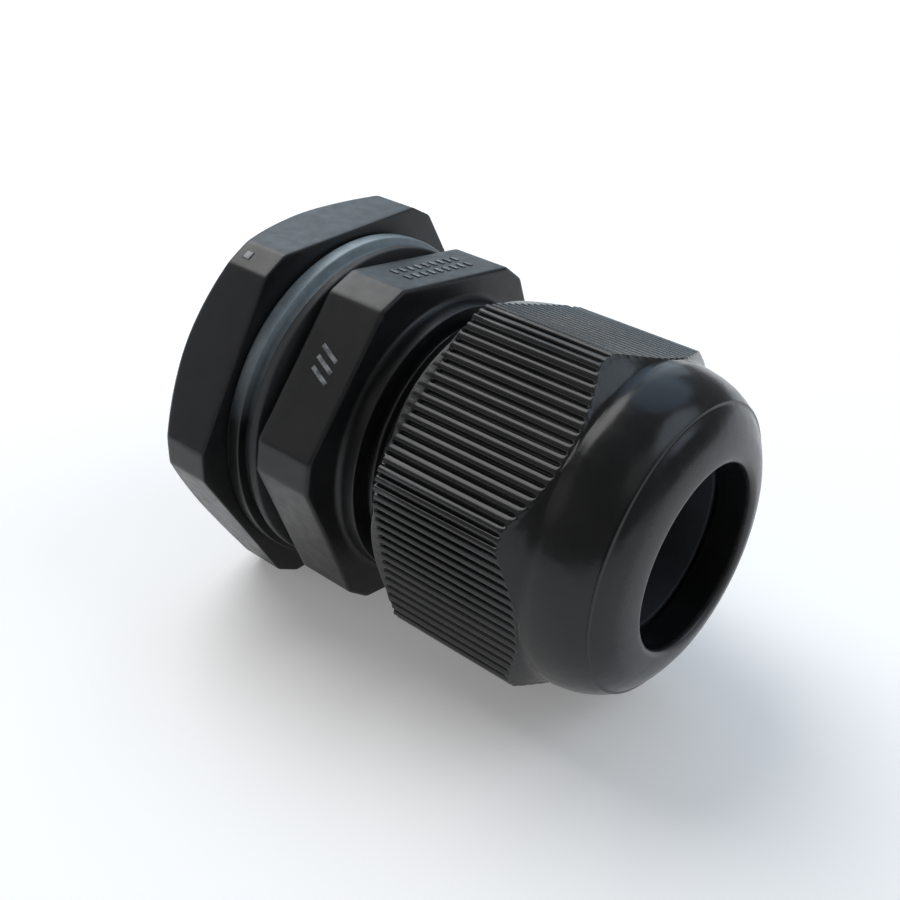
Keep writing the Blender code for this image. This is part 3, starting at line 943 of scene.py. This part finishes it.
def moulded_nylon(
    name, gloss, waves=NYLON_WAVES, band=None, marks=(), painted_reflection_on_top=False, nose=None
):
    """Black nylon: faint flow streaks, a fine grain, uneven gloss, and dulled edges
    painted lighter, partly for wear and partly as a painted glint.

    gloss is the least and most roughness, and waves the depth of the swell. band
    holds the stations between which the surface takes another colour, that colour
    and the roughness it adds. On the nose lip that colour is a painted highlight, and
    on the locknut's collar it is a painted reflection, kept to the top when
    painted_reflection_on_top is set. marks are the flats whose raised marks have tops
    painted pale as a stand-in for their highlights, and nose the station past which
    nothing is worn.
    """
    material, shader = new_material(name)
    tree = material.node_tree
    flow = noise(tree, *FLOW_PATTERN)
    grain = noise(tree, *GRAIN_PATTERN)
    satin = noise(tree, *SATIN_PATTERN)
    wear_glint_mask = edge_wear_and_glint(tree, nose)
    colour = mixed(tree, remap(tree, flow, 0.0, 1.0), NYLON_DARK, NYLON_LIGHT)
    # edges painted lighter: part wear, part painted glint
    colour = mixed(tree, wear_glint_mask, colour, NYLON_WORN_AND_GLINT)
    # tops of raised marks painted pale as a stand-in for their highlights
    mark_highlight_patches = remap(tree, noise(tree, *MARK_HIGHLIGHT_PATTERN), *MARK_HIGHLIGHT_PATCHES)
    for angle, distance in marks:
        mark = arithmetic(tree, "MULTIPLY", above_flat(tree, angle, distance), mark_highlight_patches)
        colour = mixed(tree, mark, colour, MARK_PAINTED_HIGHLIGHT)
    sheen = remap(tree, satin, *gloss)
    # painted light: a lighter band stands for the lip's highlight, a pale one for the
    # collar's reflection
    if band is not None:
        stations, dull, extra = band
        past = past_station(tree, *stations)
        if painted_reflection_on_top:
            past = arithmetic(tree, "MULTIPLY", past, toward_top(tree))
        sheen = arithmetic(tree, "ADD", sheen, arithmetic(tree, "MULTIPLY", past, extra))
        past = arithmetic(tree, "MULTIPLY", past, remap(tree, satin, *BAND_PATCHES))
        colour = mixed(tree, past, colour, dull)
    tree.links.new(colour, shader.inputs["Base Color"])
    worn_sheen = arithmetic(tree, "MULTIPLY", wear_glint_mask, WORN_ROUGHNESS)
    sheen = arithmetic(tree, "ADD", sheen, worn_sheen)
    tree.links.new(sheen, shader.inputs["Roughness"])
    swell = bump(tree, flow, waves)
    tree.links.new(bump(tree, grain, NYLON_GRAIN, swell), shader.inputs["Normal"])
    shader.inputs["IOR"].default_value = NYLON_IOR
    return material


def soft_rubber(name, dark, light):
    """Dull black rubber with a powdery bloom."""
    material, shader = new_material(name)
    tree = material.node_tree
    bloom = noise(tree, *BLOOM_PATTERN)
    grain = noise(tree, *RUBBER_PATTERN)
    colour = mixed(tree, remap(tree, bloom, 0.0, 1.0), dark, light)
    tree.links.new(colour, shader.inputs["Base Color"])
    tree.links.new(remap(tree, bloom, *RUBBER_ROUGHNESS), shader.inputs["Roughness"])
    tree.links.new(bump(tree, grain, RUBBER_GRAIN), shader.inputs["Normal"])
    return material


def place_piece(name, mesh, material, body, node, soften=0.0):
    """Puts a finished mesh in the scene as the piece that stands for a CAD node.

    soften is the width of the bevel on its edges.
    """
    piece = bpy.data.objects.new(name, mesh)
    bpy.context.scene.collection.objects.link(piece)
    mesh.materials.append(material)
    mesh.polygons.foreach_set("use_smooth", [True] * len(mesh.polygons))
    mesh.set_sharp_from_angle(angle=SHARP_ANGLE)
    weld = piece.modifiers.new("weld", "WELD")
    weld.merge_threshold = WELD
    if soften:
        edges = piece.modifiers.new("soft_edges", "BEVEL")
        edges.width = soften
        edges.segments = FINGER_SOFT_STEPS
    normals = piece.modifiers.new("flat_faces_stay_flat", "WEIGHTED_NORMAL")
    normals.keep_sharp = True
    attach(piece, body)
    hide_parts(node)


def finger_matrix(number):
    """Where a finger's own axes lie in the gland."""
    angle = number * math.tau / FINGER_COUNT
    root = axis_points(FINGER_ROOT, FINGER_ROOT_R, angle)
    lean = Matrix.Rotation(FINGER_LEAN, 4, "Y")
    around = Matrix.Rotation(angle - math.pi / 2, 4, "X")
    return Matrix.Translation(root) @ around @ lean


def build_pieces():
    """Every piece of the gland with its material."""
    flats = (BODY_UPPER_FLAT, BODY_TOP_FLAT)
    corner = (LOCKNUT_CORNER,)
    # the lip's lighter colour is a painted highlight
    lip = (LIP_DULL, LIP_PAINTED_HIGHLIGHT, LIP_ROUGHNESS)
    # the collar's pale top is a painted reflection
    collar = (COLLAR_REFLECTION_START, COLLAR_PAINTED_REFLECTION, 0.0)
    satin = moulded_nylon("body_nylon", SATIN, marks=flats)
    glossy = moulded_nylon("nut_nylon", GLOSS, NUT_WAVES, lip, nose=NUT_NOSE)
    claw = moulded_nylon("claw_nylon", DULL)
    lock = moulded_nylon("locknut_nylon", SATIN, band=collar, marks=corner, painted_reflection_on_top=True)
    place_piece("body_shell", gland_body(), satin, "gland_body", "gland_body")
    place_piece("locknut_shell", locknut(), lock, "locknut", "locknut")
    place_piece("dome_nut_shell", dome_nut(), glossy, "dome_nut", "dome_nut")
    flat = soft_rubber("gasket_rubber", *GASKET_RUBBER)
    place_piece("gasket_washer", gasket(), flat, "gasket", "gasket")
    sleeve = soft_rubber("seal_rubber", *SEAL_RUBBER)
    seal = "sealing_insert"
    place_piece("seal_sleeve", sealing_insert(), sleeve, seal, seal)
    for number in range(FINGER_COUNT):
        mesh = claw_finger()
        mesh.transform(finger_matrix(number))
        node = f"claw_finger_{number + 1:02d}"
        name = f"finger_{number + 1:02d}"
        place_piece(name, mesh, claw, node, node, FINGER_SOFT)


def build_floor():
    """A pale, faintly glowing floor, far wider than the gland."""
    mesh = bpy.data.meshes.new("floor")
    half = FLOOR_HALF
    corners = [(-half, -half, 0), (half, -half, 0), (half, half, 0), (-half, half, 0)]
    mesh.from_pydata(corners, [], [(0, 1, 2, 3)])
    floor = bpy.data.objects.new("floor", mesh)
    bpy.context.scene.collection.objects.link(floor)
    material, shader = new_material("pale_floor")
    shader.inputs["Base Color"].default_value = (FLOOR_GREY, FLOOR_GREY, FLOOR_GREY, 1.0)
    shader.inputs["Roughness"].default_value = FLOOR_ROUGHNESS
    shader.inputs["Emission Color"].default_value = (1.0, 1.0, 1.0, 1.0)
    shader.inputs["Emission Strength"].default_value = FLOOR_GLOW
    mesh.materials.append(material)


def soft_box(name, azimuth, elevation, spread, radiance, colour):
    """A round soft box facing the gland.

    azimuth runs from -Y towards +X, elevation up from the floor, and spread is half
    the angle the box covers seen from the gland, all in degrees. radiance is the
    brightness of its face.
    """
    data = bpy.data.lights.new(name, "AREA")
    data.shape = "DISK"
    data.size = 2 * LIGHT_DISTANCE * math.tan(math.radians(spread))
    data.energy = radiance * math.pi * math.pi * data.size**2 / 4
    data.color = colour
    lamp = bpy.data.objects.new(name, data)
    bpy.context.scene.collection.objects.link(lamp)
    across = math.radians(azimuth)
    up = math.radians(elevation)
    aim = Vector((math.sin(across), -math.cos(across), 0)) * math.cos(up)
    aim.z = math.sin(up)
    lamp.location = Vector((0, 0, AXIS_HEIGHT)) + aim * LIGHT_DISTANCE
    lamp.rotation_mode = "QUATERNION"
    lamp.rotation_quaternion = aim.to_track_quat("Z", "Y")


def build_light():
    """A dim pale room and large soft boxes all round the gland."""
    world = bpy.data.worlds.new("studio")
    world.use_nodes = True
    world.node_tree.nodes["Background"].inputs["Color"].default_value = (1, 1, 1, 1)
    world.node_tree.nodes["Background"].inputs["Strength"].default_value = ROOM_STRENGTH
    bpy.context.scene.world = world
    for light in SOFT_BOXES:
        soft_box(*light)
    bpy.context.scene.view_settings.view_transform = "Standard"


def build_camera():
    """The camera, from the photograph's side of the gland."""
    data = bpy.data.cameras.new("camera")
    data.lens = CAMERA_LENS
    data.sensor_width = CAMERA_SENSOR
    data.clip_start = CAMERA_NEAR
    camera = bpy.data.objects.new("camera", data)
    bpy.context.scene.collection.objects.link(camera)
    right = Vector(CAMERA_RIGHT).normalized()
    back = Vector(CAMERA_BACK).normalized()
    up = back.cross(right).normalized()
    right = up.cross(back)
    turn = Matrix((right, up, back)).transposed().to_4x4()
    camera.matrix_world = Matrix.Translation(CAMERA_PLACE) @ turn
    bpy.context.scene.camera = camera


def main():
    """Builds the pieces, the floor, the light and the camera."""
    build_pieces()
    build_floor()
    build_light()
    build_camera()


main()
